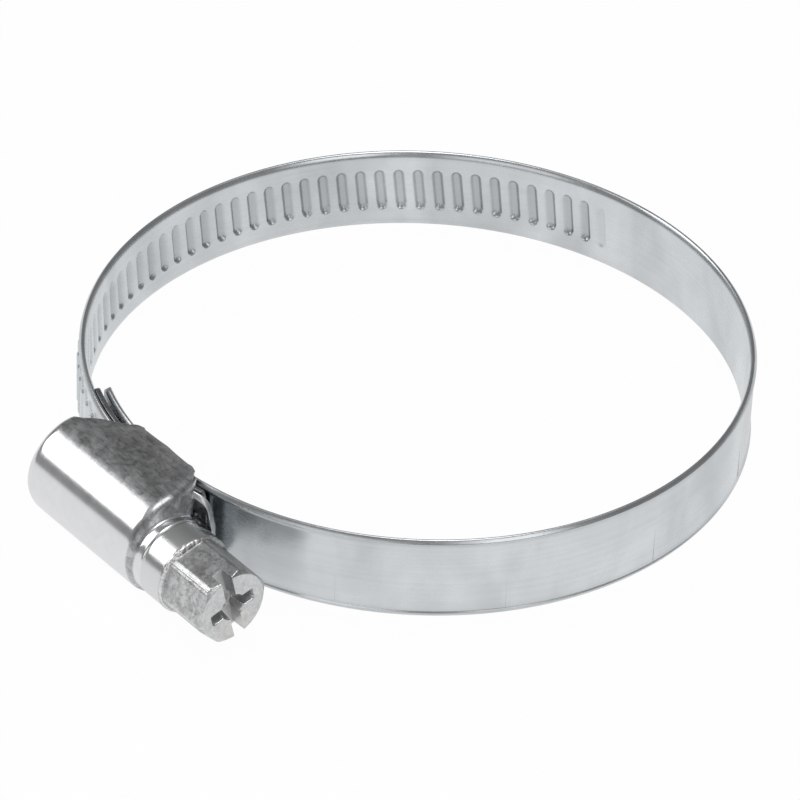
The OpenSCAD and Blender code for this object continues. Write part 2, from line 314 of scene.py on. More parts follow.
def zinc_hood(base, name="zinc_hood"):
    """Pressed sheet: the plain zinc tone on the rounded hood; on the flat cheeks and the shoulder beside the neck,
    darker with short scuff strokes, partly scratches and partly painted shade.
    """
    f = Finish(name)
    cloud = f.noise(f.place(), 640.0, 7.0, 0.7, 0.8)
    scuff = f.noise(f.place((900, 3800, 3800), (0, 0, 0.9)), 1.0, 5.0, 0.7, 0.4)
    cross = f.noise(f.place((1900, 420, 1500), (0.3, 0.2, -0.4)), 1.0, 3.0, 0.6, 0.3)
    pits = f.noise(f.place(), 3000.0, 2.0, 0.6)
    edge = f.attribute("edge")
    worn = f.attribute("worn")
    blotches = f.ramp(cloud, (0.36, 0.52), (0.5, 0.8), (0.62, 1.0))
    strokes = f.ramp(scuff, (0.36, 0.6), (0.5, 0.95), (0.64, 1.0))
    metal = f.multiply(tuple(base), f.ramp(cloud, (0.3, 0.93), (0.7, 1.0)))
    # Darker with scuff strokes on the cheeks and shoulder: the strokes are scratches, and the darkening is painted
    # shade.
    metal = f.mix(worn, metal, f.multiply(shade(base, 0.8), f.multiply(blotches, strokes)))
    # Lighter along the feet: a painted highlight.
    metal = f.mix(edge * 0.4, metal, shade(base, 1.1))
    height = (scuff * 0.6 + cross * 0.5) * (worn * 0.85 + 0.15) + pits * 0.12
    return f.set(
        Base_Color=metal,
        Metallic=1.0,
        Roughness=(0.13 + cloud * 0.1 + worn * 0.14).limited(),
        Normal=f.bump(height, 0.3, 0.00006),
    )


def zinc_screw(base):
    """Headed screw: coarse crystals that show on the forged hexagon, a smoother turned collar, painted shade in the
    thread's roots, the recess and under the hexagon, and painted highlights on crests, corners and rims.
    """
    f = Finish("zinc_screw")
    cloud = f.noise(f.place(), 620.0, 5.0, 0.65, 1.5)
    speck = f.noise(f.place(), 2600.0, 4.0, 0.75, 0.4)
    tint = f.noise(f.place(), 230.0, 2.0, 0.5)
    edge = f.attribute("edge")
    hollow = f.attribute("hollow")
    forged = f.attribute("forged")
    crystals = f.multiply(f.ramp(speck, (0.36, 0.55), (0.54, 0.95)), f.ramp(cloud, (0.36, 0.62), (0.6, 0.95)))
    turned, warm, crest = (0.96, 0.96, 0.96), (0.74, 0.70, 0.58), (0.92, 0.92, 0.91)
    metal = f.multiply(tuple(base), f.mix(forged, turned, crystals))
    metal = f.mix(f.ramp(tint, (0.54, 0.0), (0.7, 0.16)), metal, warm)
    # Painted shade: darker in the thread's roots, the recess of the head and where the hexagon meets the collar.
    metal = f.mix(hollow * 0.5, metal, shade(base, 0.5))
    # Lighter on thread crests, hexagon corners and rims: painted highlight.
    metal = f.mix(edge * 0.6, metal, crest)
    return f.set(
        Base_Color=metal,
        Metallic=1.0,
        Roughness=(0.15 + cloud * 0.12 + forged * 0.1 + hollow * 0.12).limited(),
        Normal=f.bump((cloud * 0.6 + speck * 0.4) * (forged * 0.8 + 0.2), 0.5, 0.00012),
    )


# ---------------------------------------------------------------------------------------------- mesh writing


def mesh_object(name, points, faces, uv, marks, material, crease=38):
    """Puts whole arrays of points (millimetres) and quads into a new object at the origin, turned outside out.
    The signed volume is the sum over each quad's two triangles of a . (b x c) / 6."""
    points = np.asarray(points, float).reshape(-1, 3)
    faces = np.asarray(faces, np.int64)
    a, b, c, d = (points[faces[:, i]] for i in range(4))
    volume = np.einsum("ij,ij->i", a, np.cross(b, c)).sum() + np.einsum("ij,ij->i", a, np.cross(c, d)).sum()
    if volume < 0:
        faces = faces[:, ::-1]
    mesh = bpy.data.meshes.new(name)
    mesh.vertices.add(len(points))
    mesh.vertices.foreach_set("co", (points * MM).astype(np.float32).ravel())
    mesh.loops.add(faces.size)
    mesh.loops.foreach_set("vertex_index", faces.ravel().astype(np.int32))
    mesh.polygons.add(len(faces))
    mesh.polygons.foreach_set("loop_start", np.arange(0, faces.size, 4, dtype=np.int32))
    mesh.update(calc_edges=True)
    if uv is not None:
        layer = mesh.uv_layers.new(name="surface")
        corners = np.asarray(uv, float).reshape(-1, 2)[faces.ravel()] * MM
        layer.data.foreach_set("uv", corners.astype(np.float32).ravel())
    for key, values in marks.items():
        mark = mesh.attributes.new(key, "FLOAT", "POINT")
        mark.data.foreach_set("value", np.asarray(values, np.float32).ravel())
    mesh.polygons.foreach_set("use_smooth", np.ones(len(faces), bool))
    close_seams(mesh)
    mesh.set_sharp_from_angle(angle=math.radians(crease))
    mesh.materials.append(material)
    made = bpy.data.objects.new(name, mesh)
    bpy.context.scene.collection.objects.link(made)
    return made


def close_seams(mesh):
    """Merges points that coincide, so that collapsed quads become triangles and seams are closed."""
    work = bmesh.new()
    work.from_mesh(mesh)
    bmesh.ops.remove_doubles(work, verts=work.verts, dist=SAME_PLACE)
    work.to_mesh(mesh)
    work.free()


def quads(rows, columns):
    """Quads of a grid whose rows are closed loops: (i, j), (i, j+1), (i+1, j+1), (i+1, j), j counted round."""
    i, j = np.meshgrid(np.arange(rows - 1), np.arange(columns), indexing="ij")
    k = (j + 1) % columns
    near, far = i * columns, (i + 1) * columns
    return np.stack([near + j, near + k, far + k, far + j], -1).reshape(-1, 4)


def lids(rows, columns):
    """End faces of such a grid, when point j of a loop lies opposite point columns - j: bars between the two."""
    j = np.arange(columns // 2)
    across = np.stack([j, (columns - j) % columns, (columns - j - 1) % columns, j + 1], -1)
    return np.concatenate([across, (rows - 1) * columns + across[:, ::-1]])


def sheet_loop(half, thickness, radius, spacing):
    """Closed section of a flat sheet: (place across, depth). From the middle of one edge round a quarter circle to
    the inner face, over it, and round the other edge, then back by the mirror image with depth -> thickness - depth."""
    turn = np.linspace(0, np.pi / 2, 5)
    near = np.stack([-half + radius * (1 - np.cos(turn)), radius * (1 - np.sin(turn))], -1)
    face = np.arange(-half + radius, half - radius, spacing)[1:]
    middle = np.stack([face, np.zeros(len(face))], -1)
    far = near[::-1] * [-1, 1]
    first = np.concatenate([[[-half, thickness / 2]], near, middle, far, [[half, thickness / 2]]])
    second = first[-2:0:-1] * [1, -1] + [0, thickness]
    return np.concatenate([first, second])


def smooth(value, low, high):
    """0 below low, 1 above high, 3t^2 - 2t^3 between."""
    t = np.clip((value - low) / (high - low), 0, 1)
    return t * t * (3 - 2 * t)


# ---------------------------------------------------------------------------------------------- the strip


class Strip:
    """The band as arcs: a larger one about the feed's centre, then the ring itself. Lengths run from the free end."""

    LENGTHS = (
        *("width", "thickness", "rim_width", "rim_rise", "edge_round", "corner", "free_corner"),
        *("rib_length", "rib_width", "rib_rise", "rib_hollow"),
    )

    def __init__(self, sizes):
        self.b = b = {key: getattr(sizes, key) / MM for key in self.LENGTHS}
        self.slant, self.count = sizes.rib_slant, sizes.rib_count
        self.ring = BORE / MM + b["thickness"] / 2
        self.shift = SHIFT / MM
        self.outer = self.ring + self.shift
        self.start = -math.pi / 2 + sizes.free_angle
        self.turn = -1.5 * math.pi
        self.first_run = (self.start - self.turn) * self.outer
        self.total = self.first_run + (self.turn + 2.5 * math.pi + sizes.tongue_angle) * self.ring
        self.flat = b["width"] / 2 - b["rim_width"]
        self.rim = (b["rim_width"] ** 2 + b["rim_rise"] ** 2) / (2 * b["rim_rise"])
        self.half = self.flat + (self.rim - b["thickness"] / 2) * math.asin(b["rim_width"] / self.rim)
        self.hinges = [self.length_at(JOINTS[name]["pos_m"]) for name in FLEX]
        self.step = self.hinges[1] - self.hinges[0]
        self.rib_pitch = self.step / RIBS_PER_STRETCH
        self.bottom = sizes.free_angle * self.outer
        self.first_rib = -math.floor((self.bottom - b["corner"] / 2) / self.rib_pitch)

    def length_at(self, place):
        """Length from the free end to a point on the middle line."""
        x, y = place[0] / MM, place[1] / MM
        angle = math.atan2(y + self.shift, x)
        while angle > self.start:
            angle -= 2 * math.pi
        if angle >= self.turn:
            return (self.start - angle) * self.outer
        angle = math.atan2(y, x)
        while angle > self.turn:
            angle -= 2 * math.pi
        return self.first_run + (self.turn - angle) * self.ring

    def spot(self, s):
        """Centre, radius and angle of the middle line at each length."""
        first = s <= self.first_run
        angle = np.where(first, self.start - s / self.outer, self.turn - (s - self.first_run) / self.ring)
        radius = np.where(first, self.outer, self.ring)
        centre = np.where(first, -self.shift, 0.0)
        return centre, radius, angle

    def rib(self, s, z, half_width, half_length, soft):
        """1 inside the nearest slanted bar with round ends, 0 outside, by the distance to the bar's middle line.
        The change takes soft millimetres."""
        last = self.first_rib + self.count - 1
        index = np.clip(np.round((s - self.bottom) / self.rib_pitch), self.first_rib, last)
        along = (s - self.bottom) - index * self.rib_pitch
        across = along * math.cos(self.slant) + z * math.sin(self.slant)
        down = z * math.cos(self.slant) - along * math.sin(self.slant)
        faint = np.where(index == last, LAST_RIB_SHARE, 1.0)
        reach = np.hypot(across, np.maximum(np.abs(down) - (half_length - half_width), 0))
        return (1 - smooth(reach, half_width - soft / 2, half_width + soft / 2)) * faint

    def rows(self, first, last, step):
        """Lengths between two places: even, and crowded towards a rounded end of the strip."""
        b = self.b
        turn = np.linspace(0, np.pi / 2, 22)
        tight = (b["free_corner"] if first < SAME_LENGTH else b["corner"]) * (1 - np.cos(turn))
        tiny = b["edge_round"] * (1 - np.cos(np.linspace(0, np.pi / 2, 5)))
        near = np.unique(np.round(np.concatenate([tiny, tight]), 5))
        low = first + near if first < SAME_LENGTH else np.array([first])
        high = (last - near)[::-1] if last > self.total - SAME_LENGTH else np.array([last])
        count = max(2, int(np.ceil((high[0] - low[-1]) / step)) + 1)
        return np.concatenate([low, np.linspace(low[-1], high[0], count)[1:-1], high])

    def surface(self, s, loop, sink):
        """Points of the band for rows of lengths and a section loop. Across: straight over the flat, then round the
        rim's arc. Outward: the depth raised by the rim and by the lip of the free end, plus the rib where the point
        faces out and its hollow where it faces in. Sink draws both faces and both edges in. On the UV map the outer
        face lies 12 mm aside, so that the two faces' lines differ."""
        b, t = self.b, self.b["thickness"]
        s = s[:, None]
        m, d = loop[None, :, 0], loop[None, :, 1]
        from_end = np.minimum(s, self.total - s)
        corner = np.where(s < self.total / 2, b["free_corner"], b["corner"])
        cut = np.clip(corner - from_end, 0, None)
        wide = (self.half - corner + np.sqrt(np.clip(corner**2 - cut**2, 0, None))) / self.half
        back = np.clip(b["edge_round"] - from_end, 0, None)
        thick = t / 2 - b["edge_round"] + np.sqrt(np.clip(b["edge_round"] ** 2 - back**2, 0, None))
        m = m * (wide - sink[:, None] / self.half)
        d = t / 2 + np.clip(d - t / 2, sink[:, None] - thick, thick - sink[:, None])
        bend = np.clip(np.abs(m) - self.flat, 0, None) / (self.rim - t / 2)
        z = np.where(bend > 0, np.sign(m) * (self.flat + (self.rim - d) * np.sin(bend)), m)
        h = np.where(bend > 0, self.rim - (self.rim - d) * np.cos(bend), d)
        s = np.broadcast_to(s, z.shape)
        crest_side, hollow_side = 0.46, 0.56
        crest = self.rib(s, z, b["rib_width"] / 2 + 0.1, b["rib_length"] / 2, crest_side)
        # The hollow behind each rib: it sinks the inner face, and it also marks where painted shade darkens the colour.
        hollow = self.rib(s, z, b["rib_width"] / 2 + 0.04, b["rib_length"] / 2 - 0.15, hollow_side)
        outside = smooth(d, t * 0.55, t * 0.75)
        inside = 1 - smooth(d, t * 0.25, t * 0.45)
        lip = smooth(b["rim_width"] + 0.3 - s, 0, b["rim_width"] + 0.3) * b["rim_rise"] * 1.2
        h = d + np.hypot(h - d, lip) + crest * b["rib_rise"] * outside + hollow * b["rib_hollow"] * inside
        centre, radius, angle = self.spot(s)
        r = radius - t / 2 + h
        points = np.stack([r * np.cos(angle), centre + r * np.sin(angle), z], -1)
        edge = smooth(np.abs(m), self.half * wide - 0.28, self.half * wide - 0.05)
        # On the outer face, a thin dark line where each rim bends: painted shade, not a real mark on the metal.
        edge = np.maximum(edge, outside * (1 - smooth(np.abs(np.abs(m) - self.flat - 0.1), 0.02, 0.2)))
        aside = 12 * outside
        return points, np.stack([s, np.broadcast_to(m, s.shape) + aside], -1), hollow * inside, edge

    def piece(self, name, first, last, material, loop, step):
        """One stretch of the strip, with a sunken lap at each end that runs under its neighbour."""
        s = self.rows(first, last, step)
        before = [first - LAP] if first > 0 else []
        after = [last + LAP] if last < self.total else []
        sink = np.concatenate([[SINK] * len(before), 0 * s, [SINK] * len(after)])
        s = np.concatenate([before, s, after])
        points, uv, hollow, edge = self.surface(s, loop, sink)
        faces = np.concatenate([quads(len(s), len(loop)), lids(len(s), len(loop))])
        made = mesh_object(name, points, faces, uv, {"hollow": hollow, "edge": edge}, material)
        return made

    def tangent_point(self, s, by):
        """Point at a distance along the tangent from the middle line, in metres."""
        centre, radius, angle = (float(v) for v in self.spot(np.array(s)))
        return (
            (radius * math.cos(angle) + by * math.sin(angle)) * MM,
            (centre + radius * math.sin(angle) - by * math.cos(angle)) * MM,
            0.0,
        )


class HOSECLAMP_OT_band(bpy.types.Operator):
    """Builds the strip: a ribbed end in the housing, stretches round the ring, and the plain end"""

    bl_idname = "hoseclamp.band"
    bl_label = "Band"

    def execute(self, context):
        scene = context.scene
        strip = Strip(scene.clamp_band)
        material = zinc_strip(scene.clamp_finishes.strip)
        loop = sheet_loop(strip.half, strip.b["thickness"], strip.b["edge_round"], ACROSS_STEP)
        half = strip.step / 2
        last_rib = strip.bottom + (strip.first_rib + strip.count) * strip.rib_pitch
        end = strip.piece("ribbed_end", 0, strip.hinges[0] - half, material, loop, RIBBED_STEP)
        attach(end, "threaded_end")
        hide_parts("band_thread_end")
        for k, (name, s) in enumerate(zip(FLEX, strip.hinges), 1):
            step = RIBBED_STEP if s - half < last_rib else PLAIN_STEP
            made = strip.piece(f"stretch_{k:02d}", s - half, s + half, material, loop, step)
            strip.tangent_point(s, -half * 0.96)
            strip.tangent_point(s, half * 0.96)
            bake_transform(made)
            node = f"band_length_{k:02d}"
            if node in frame["nodes"]:
                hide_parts(node)
        end = strip.piece("plain_end", strip.hinges[-1] + half, strip.total, material, loop, PLAIN_STEP)
        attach(end, "fixed_end")
        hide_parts("band_fixed_end")
        return {"FINISHED"}


# ---------------------------------------------------------------------------------------------- the saddle plate


class HOSECLAMP_OT_saddle(bpy.types.Operator):
    """Builds the saddle plate: an arc of sheet with lugs in the cheeks and a rounded tongue"""

    bl_idname = "hoseclamp.saddle"
    bl_label = "Saddle plate"

    def execute(self, context):
        """Rows go round the arc; the half width is the corner's circle at the tongue and a bump at the lugs. Away
        from the lugs the edges turn outward with the band's rims."""
        scene = context.scene
        house, band = scene.clamp_housing, scene.clamp_band
        inner, t = house.saddle_height / MM, house.saddle_thickness / MM
        half, corner, lug = band.width / MM / 2, band.corner / MM, house.width / MM / 2 - house.sheet / MM
        reach = math.asin((house.shoulder / MM) / inner)
        total = (band.tongue_angle + reach) * inner
        tight = corner * (1 - np.cos(np.linspace(0, np.pi / 2, 16)))
        s = np.concatenate([tight, np.linspace(corner, total, 130)[1:]])
        loop = sheet_loop(half, t, SADDLE_ROUND, 0.4)
        cut = np.clip(corner - s, 0, None)
        wide = half - corner + np.sqrt(corner**2 - cut**2)
        angle = -math.pi / 2 - band.tongue_angle + s / inner
        x = inner * np.cos(angle)
        wide = wide + (lug - half) * smooth(-np.abs(x), -4.2, -3.9)
        back = np.clip(SADDLE_ROUND - np.minimum(s, total - s), 0, None)
        thick = t / 2 - SADDLE_ROUND + np.sqrt(np.clip(SADDLE_ROUND**2 - back**2, 0, None))
        m = loop[None, :, 0] * (wide / half)[:, None]
        d = t / 2 + np.clip(loop[None, :, 1] - t / 2, -thick[:, None], thick[:, None])
        turned_up = smooth(np.abs(m), half - 1.2, half + 0.5) * 0.5 * (np.abs(x) > 5)[:, None]
        r = inner + d + turned_up
        points = np.stack([r * np.cos(angle)[:, None], r * np.sin(angle)[:, None], m], -1)
        # Scuff strokes and painted shade: at half over the whole plate, in full towards the edges beside the cheeks.
        worn = 0.5 + smooth(np.abs(m), wide[:, None] - 1.0, wide[:, None] - 0.1) * 0.5
        faces = np.concatenate([quads(len(s), len(loop)), lids(len(s), len(loop))])
        uv = np.stack([np.broadcast_to(s[:, None], m.shape), m], -1)
        material = zinc_hood(scene.clamp_finishes.saddle, "zinc_saddle")
        made = mesh_object("saddle_sheet", points, faces, uv, {"worn": worn}, material)
        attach(made, "housing")
        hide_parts("saddle_plate")
        return {"FINISHED"}


# ---------------------------------------------------------------------------------------------- the housing


def rounded_path(corners, bends, counts):
    """Paths through corner points, one for each row: straight legs, and at each inner corner a parabola from the
    point f before it to the point f after it. corners is (corner, row, 3), bends (corner, row), counts per leg."""
    parts = [corners[:1]]
    for k in range(1, len(corners)):
        way = unit(corners[k] - corners[k - 1])
        begin = corners[k - 1] + way * bends[k - 1][:, None]
        stop = corners[k] - way * bends[k][:, None]
        t = np.linspace(0, 1, counts[k - 1] + 1)[:, None, None]
        straight = begin + (stop - begin) * t
        parts.append(straight[1:] if k == 1 else straight)
        if k < len(corners) - 1:
            leave = corners[k] + unit(corners[k + 1] - corners[k]) * bends[k][:, None]
            u = np.linspace(0, 1, 9)[1:-1, None, None]
            parts.append((1 - u) ** 2 * stop + 2 * u * (1 - u) * corners[k] + u**2 * leave)
    return np.concatenate(parts).transpose(1, 0, 2)


def unit(vectors):
    """Vectors of length one, with 0 kept at 0."""
    return vectors / (np.linalg.norm(vectors, axis=-1, keepdims=True) + 1e-12)


def thick_sheet(middle, thickness):
    """Closed loops round a sheet from its middle surface (row, place, 3): the middle plus or minus half the thickness
    along the normal, joined by half circles at both edges, and rows that close over at both ends."""
    along = unit(np.gradient(middle, axis=1))
    normal = unit(np.cross(np.gradient(middle, axis=0), along))
    half = thickness / 2
    turn = np.linspace(-np.pi / 2, np.pi / 2, 7)[1:-1][None, :, None]

    def loop(mid, n, way, scale):
        end = mid[:, -1:] + n[:, -1:] * half * np.sin(-turn) * scale + way[:, -1:] * half * np.cos(turn) * scale
        start = mid[:, :1] + n[:, :1] * half * np.sin(turn) * scale - way[:, :1] * half * np.cos(turn) * scale
        top = mid + n * half * scale
        low = mid - n * half * scale
        first = (start[:, 2:3], start[:, 3:], top, end[:, :2], end[:, 2:3])
        second = (end[:, 3:], low[:, ::-1], start[:, :2])
        return np.concatenate(first + second, axis=1)

    rows = [loop(middle, normal, along, 1.0)]
    for side in (0, -1):
        out = unit(middle[side] - middle[1 if side == 0 else -2])
        for lean in (0.45, 0.9, 1.25):
            cap = middle[side] + out * half * math.sin(lean)
            made = loop(cap[None], normal[side][None], along[side][None], math.cos(lean))
            rows = rows + [made] if side else [made] + rows
    return np.concatenate(rows)


class HOSECLAMP_OT_housing(bpy.types.Operator):
    """Builds the housing: a D-shaped hood with slanting cheeks, a round shoulder at its tail and a drawn-in neck"""

    bl_idname = "hoseclamp.housing"
    bl_label = "Housing"

    def execute(self, context):
        """Rows go over the hood from foot to foot: straight, half circle, straight. In each row the sheet runs from
        the journal at the tail, out to the hood, along X to the shoulder, in to the neck and along it."""
        h = context.scene.clamp_housing
        t = h.sheet / MM
        axis = SCREW_Y / MM
        radius = h.width / MM / 2 - t / 2
        centre = axis + h.rise / MM - h.width / MM / 2
        foot = h.foot_height / MM + t / 2
        leg = centre - foot
        arc = np.pi * radius
        down_leg, up_leg = np.linspace(-leg, 0, 26)[:-1], np.linspace(arc, arc + leg, 26)[1:]
        q = np.concatenate([down_leg, np.linspace(0, arc, 121), up_leg])
        angle = np.clip(q, 0, arc) / radius - np.pi / 2
        down = np.clip(-q, 0, None) + np.clip(q - arc, 0, None)
        y = centre + radius * np.cos(angle) - down
        z = radius * np.sin(angle)
        polar = np.arctan2(np.abs(z), y - axis)
        side = np.sign(z)
        slant = np.clip((y - foot - 0.7) / (centre - foot - 0.7), 0, 1)
        corner = 1.0
        round_off = corner - np.sqrt(np.clip(corner**2 - np.clip(corner - (y - foot), 0, None) ** 2, 0, None))
        half_foot = h.foot / MM / 2
        x_tail = -(half_foot + (h.tail / MM - half_foot) * slant) + round_off + t * 0.5
        x_head = half_foot + (h.shoulder / MM - half_foot) * slant - round_off - t * 0.2
        tail_share = 1 - smooth(polar, 1.75, 2.12)

        def ring(x, r, share, base_x):
            """The circle of radius r at x, or a share of the way to it from the hood's section at base_x."""
            ry, rz = axis + r * np.cos(polar), side * r * np.sin(polar)
            return np.stack([base_x + (x - base_x) * share, -(y + (ry - y) * share), z + (rz - z) * share], -1)

        neck_r = h.rise / MM - 0.05 - t / 2
        at_tail = np.stack([x_tail, -y, z], -1)
        at_head = np.stack([x_head, -y, z], -1)
        hole = ring(-h.tail / MM + t * 0.5, 2.3, 0.02 + 0.98 * tail_share, x_tail)
        in_neck = ring(h.shoulder / MM + 0.75, neck_r - 0.1, 1.0, x_head)
        end_neck = ring(h.head / MM - t * 0.3, neck_r, 1.0, x_head)
        at_end, at_shoulder, at_neck = (
            np.linalg.norm(b - a, axis=-1) for a, b in ((hole, at_tail), (at_head, in_neck), (in_neck, end_neck))
        )
        tail_bend, head_bend, neck_bend = (
            np.minimum(most, size * share)
            for most, size, share in ((0.9, at_end, 0.5), (0.5, at_shoulder, 0.45), (0.5, at_neck, 0.45))
        )
        bends = [0 * q, tail_bend, head_bend, neck_bend, 0 * q]
        middle = rounded_path(np.stack([hole, at_tail, at_head, in_neck, end_neck]), bends, [8, 24, 10, 8])
        low = (-middle[..., 1] < CHANNEL_TOP + t / 2) & (middle[..., 0] < half_foot)
        keep = np.maximum(np.abs(middle[..., 2]), CHANNEL_HALF + t / 2)
        middle[..., 2] = np.where(low, np.sign(middle[..., 2]) * keep, middle[..., 2])
        rows = thick_sheet(middle, t)
        n = rows.shape[1]
        faces = np.concatenate([quads(len(rows), n), lids(len(rows), n)])
        material = zinc_hood(context.scene.clamp_finishes.hood)
        made = mesh_object("hood", rows, faces, None, self.marks(rows, h.width / MM / 2), material, crease=50)
        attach(made, "housing")
        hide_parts("housing_shell")
        return {"FINISHED"}

    def marks(self, rows, cheek):
        """Marks: 1 along the feet, where a painted highlight lightens the sheet; and 1 on the flat cheeks and on the
        shoulder beside the neck, where scuff strokes and painted shade darken it.
        """
        count = np.minimum(np.arange(len(rows)), np.arange(len(rows))[::-1])
        edge = (1 - smooth(count, 3, 6))[:, None] + np.zeros(rows.shape[:2])
        on_cheek = smooth(np.abs(rows[..., 2]), cheek - 0.75, cheek - 0.2)
        on_shoulder = smooth(rows[..., 0], 6.0, 6.3) * (1 - smooth(rows[..., 0], 7.0, 7.25))
        return {"edge": edge, "worn": np.maximum(on_cheek, on_shoulder)}


# ---------------------------------------------------------------------------------------------- the screw


def about_axis(x, r, angle):
    """Points about the screw's axis: X is x, the rest a circle of radius r, its angle counted from outward to up."""
    return np.stack([np.broadcast_to(x, r.shape), -(SCREW_Y / MM + r * np.cos(angle)), r * np.sin(angle)], -1)


class HOSECLAMP_OT_screw(bpy.types.Operator):
    """Builds the screw: a thread in the housing, and outside it the collar and the hexagon with its recess"""

    bl_idname = "hoseclamp.screw"
    bl_label = "Screw"

    def execute(self, context):
        scene = context.scene
        w, house = scene.clamp_screw, scene.clamp_housing
        material = zinc_screw(scene.clamp_finishes.screw)
        thread = self.thread(w, house, material)
        head = self.head(w, material)
        for made in (thread, head):
            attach(made, "screw")
        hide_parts("worm_screw")
        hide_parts("worm_screw")
        return {"FINISHED"}

    def thread(self, w, house, material):
        """Radius = root + depth x a rounded trapezium of the fraction of (X / pitch + turns), fading in at both
        ends. The turns are counted from outward towards up."""
        n = 144
        root, depth, pitch = (w.thread - w.depth) / MM, w.depth / MM, w.pitch / MM
        tail_x, collar_x = -house.tail / MM + 0.02, w.collar_start / MM + 0.1
        x = np.concatenate([[tail_x] * 2, np.linspace(-8.9, 6.0, 260), [6.1, 6.3], [collar_x] * 2])[:, None]
        turns = np.linspace(0, 1, n, endpoint=False)[None, :]
        phase = x / pitch + turns
        crest = 1 - smooth(np.abs(phase - np.round(phase)), 0.11, 0.27)
        fade = smooth(x, -5.6, -4.8) * (1 - smooth(x, 4.8, 5.6))
        r = root + depth * crest * fade
        r = np.where(x < -8.8, root * 0.8, r)
        r[0], r[-1] = 0, 0
        points = about_axis(x, r, 2 * np.pi * turns)
        # Painted highlight on the thread's crests, painted shade in its roots.
        marks = {"edge": crest * fade * 0.5, "hollow": (1 - crest) * 0.3}
        return mesh_object("worm_thread", points, quads(len(r), n), None, marks, material, crease=32)

    def head(self, w, material):
        """Side: radius = the collar's, then the smaller of the hexagon a / cos(angle to the nearest flat), its corners
        rounded, and the end's cone. End face: rows of equal distance v from the middle of the slot, each from edge to
        edge of the face's circle, so that the slot's walls follow the rows; X falls by the depth of the recess."""
        collar, start, hex_x = w.collar / MM, w.collar_start / MM, (w.collar_start + w.collar_length) / MM
        end = hex_x + w.head_length / MM
        flat_r = w.across_flats / MM / 2
        face_r, worn_corner, dish_depth = flat_r - 0.1, 0.16, 0.04
        depth, half = w.slot_depth / MM, w.slot_width / MM / 2
        walls = np.arcsin(np.array([-half - 0.04, -half + 0.02, half - 0.02, half + 0.04]) / face_r)
        rise = np.unique(np.concatenate([np.linspace(-np.pi / 2, np.pi / 2, 181), walls]))
        turn = np.concatenate([rise, np.pi - rise[-2:0:-1]])[None, :]
        n = turn.shape[1]
        flat = np.abs((turn + np.pi / 6) % (np.pi / 3) - np.pi / 6)
        hexagon = flat_r / np.cos(flat) - worn_corner * smooth(flat, 0.40, np.pi / 6)

        def recess(u, v):
            """Share of the recess depth: a slot right across, a shorter cross square to it, a round pit between."""
            slot = 1 - smooth(np.abs(v), half - 0.02, half + 0.04)
            arm = (1 - smooth(np.abs(u), 0.36, 0.66)) * (1 - smooth(np.abs(v), 1.8, 2.55))
            core = 1 - smooth(np.hypot(u, v), 0.8, 1.4)
            return np.maximum(np.maximum(slot, arm * 0.95), core * 1.1)

        rows = []

        def add(x, r, edge=0.0, hollow=0.0, forged=1.0):
            values = (x, r, edge, hollow, forged)
            rows.append([np.broadcast_to(np.asarray(value, float), (1, n)) for value in values])

        add(start, 0, forged=0)
        add(start, collar - 0.32, forged=0)
        for share in np.linspace(0.15, 1, 5):
            add(start + 0.12 * share, collar - 0.2 + 0.2 * np.sin(share * np.pi / 2), forged=0)
        for x in np.linspace(start + 0.3, hex_x - 0.4, 10):
            add(x, collar, forged=0)
        rough = 0.05 * np.sin(turn * 23) + 0.04 * np.sin(turn * 41 + 1) + 0.03 * np.sin(turn * 67 + 2)
        # Rows round the ledge between collar and hexagon: the third value lightens the collar's rim as a painted
        # highlight, the fourth darkens the ledge as painted shade.
        add(hex_x - 0.2, collar, forged=0.2)
        add(hex_x - 0.12, collar - 0.035 + rough * 0.25, 0.7)
        add(hex_x - 0.03, collar - 0.05 + rough * 0.4, 1.0)
        ledge = np.minimum(hexagon + 0.02, collar)
        add(hex_x + 0.05 + rough * 0.6, collar - 0.12, 1.0)
        add(hex_x + 0.12 + rough * 0.5, (ledge + collar) / 2 - 0.05, 0.1, 0.5)
        add(hex_x + 0.2, ledge, 0.0, 0.9)
        top = end - depth * recess(face_r * np.cos(turn), face_r * np.sin(turn))
        cone_x = end - 0.75
        first_x, last_x = hex_x + 0.3, np.minimum(cone_x, top - 0.1)
        on_corner = smooth(flat, 0.45, 0.5)
        # Darker where the hexagon's sides meet the ledge, as painted shade; lighter on its corners, as a painted
        # highlight.
        for share in np.linspace(0.0, 1, 14):
            dark = 0.5 * (1 - smooth(share, 0, 0.12))
            add(first_x + (last_x - first_x) * share, hexagon, 0.7 * on_corner, dark)
        cone_r, cone_fall = 4.14, 0.64
        for share in np.linspace(0.08, 1, 10):
            cone = cone_r - cone_fall * share**1.4
            x = np.minimum(cone_x + 0.7 * share, top)
            add(x, np.minimum(hexagon, cone), 0.35 * on_corner, 0, 1 - 0.5 * share)
        add(np.minimum(end - 0.02, top), face_r + 0.04, 0.5, 0, 0.5)
        add(top, face_r, 0.2, 0, 0.5)
        x, r, edge, hollow, forged = (np.concatenate([row[k] for row in rows]) for k in range(5))
        side = about_axis(x, r, turn + w.head_turn)

        v = (face_r * np.sin(rise))[:, None]
        u = face_r * np.cos(rise)[:, None] * np.linspace(-1, 1, 201)[None, :]
        v = np.broadcast_to(v, u.shape)
        deep = recess(u, v)
        dish = dish_depth * (1 - (u**2 + v**2) / face_r**2)
        face = about_axis(end - dish - depth * deep, np.hypot(u, v), np.arctan2(v, u) + w.head_turn)
        grid = quads(*u.shape).reshape(len(rise) - 1, u.shape[1], 4)[:, :-1].reshape(-1, 4) + x.size
        faces = np.concatenate([quads(len(x), n), grid])
        points = np.concatenate([side.reshape(-1, 3), face.reshape(-1, 3)])
